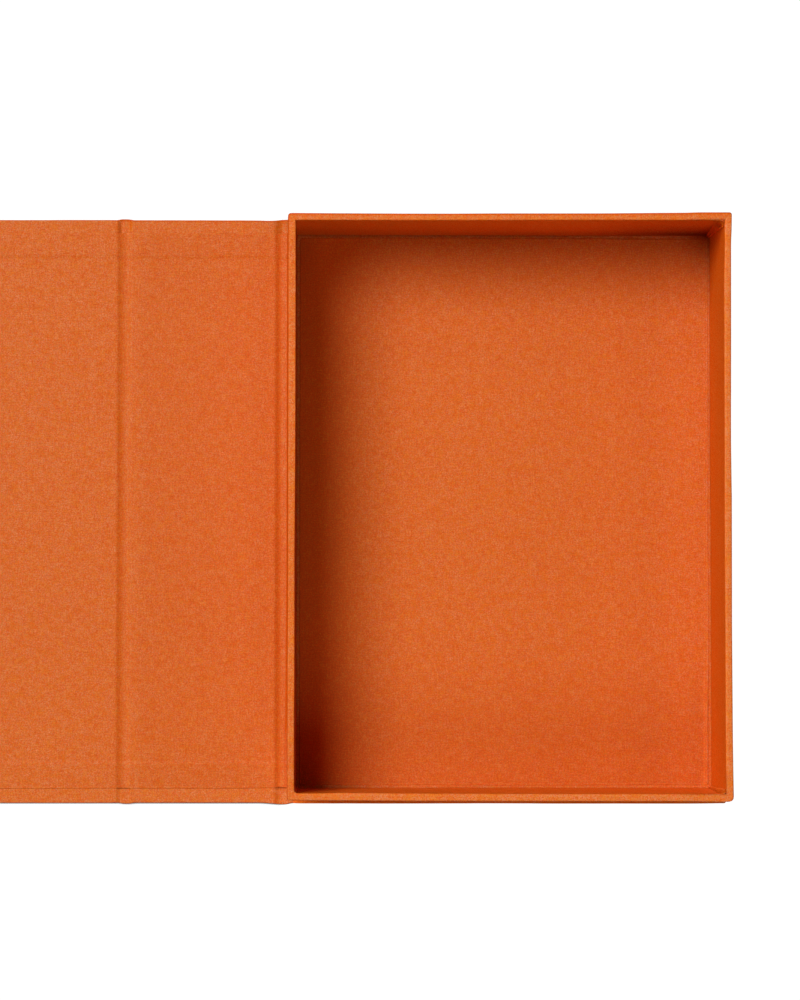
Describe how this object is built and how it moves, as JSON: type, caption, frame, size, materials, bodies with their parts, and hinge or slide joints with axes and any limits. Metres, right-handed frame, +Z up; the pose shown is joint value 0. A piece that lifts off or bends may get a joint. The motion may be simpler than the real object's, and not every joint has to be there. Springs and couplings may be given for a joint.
{
  "type": "clamshell book box",
  "caption": "Cloth-covered book box: a deep open tray on the back board of a hard case, with a flat spine and a flat cover that fold up and over the tray on cloth joints.",
  "frame": {"origin": "on the underside of the back board, below the centre of the tray", "axes": "+X from the spine to the tray's fore edge, +Y from tail to head, +Z up out of the open tray; the box lies open and flat"},
  "size_m": [0.6058, 0.338, 0.0875],
  "materials": {
    "book_cloth": "orange starched book cloth, fine plain weave with slubs, matt",
    "lining_cloth": "the same orange book cloth, pasted flat",
    "greyboard": "solid grey board, matt"
  },
  "bodies": {
    "tray_base": {"back_board": "greyboard", "back_cloth": "book_cloth", "base_joint_cloth": "book_cloth", "base_joint_lining": "lining_cloth", "tray_floor_board": "greyboard", "tray_head_wall": "greyboard", "tray_tail_wall": "greyboard", "tray_fore_edge_wall": "greyboard", "tray_spine_wall": "greyboard", "tray_wall_cloth": "book_cloth", "floor_card": "greyboard", "floor_lining_cloth": "lining_cloth"},
    "spine": {"spine_board": "greyboard", "spine_cloth": "book_cloth", "spine_lining": "lining_cloth"},
    "cover": {"cover_board": "greyboard", "cover_cloth": "book_cloth", "cover_lining": "lining_cloth", "cover_joint_cloth": "book_cloth", "cover_joint_lining": "lining_cloth"}
  },
  "joints": [
    {"name": "spine_hinge", "type": "hinge", "parent": "tray_base", "child": "spine", "pos_m": [-0.1281, 0, 0.00035], "axis": [0, 1, 0], "range_deg": [0, 90], "deforming": ["base_joint_cloth", "base_joint_lining"]},
    {"name": "cover_hinge", "type": "hinge", "parent": "spine", "child": "cover", "pos_m": [-0.2197, 0, 0.00035], "axis": [0, 1, 0], "range_deg": [0, 90], "deforming": ["cover_joint_cloth", "cover_joint_lining"]}
  ]
}
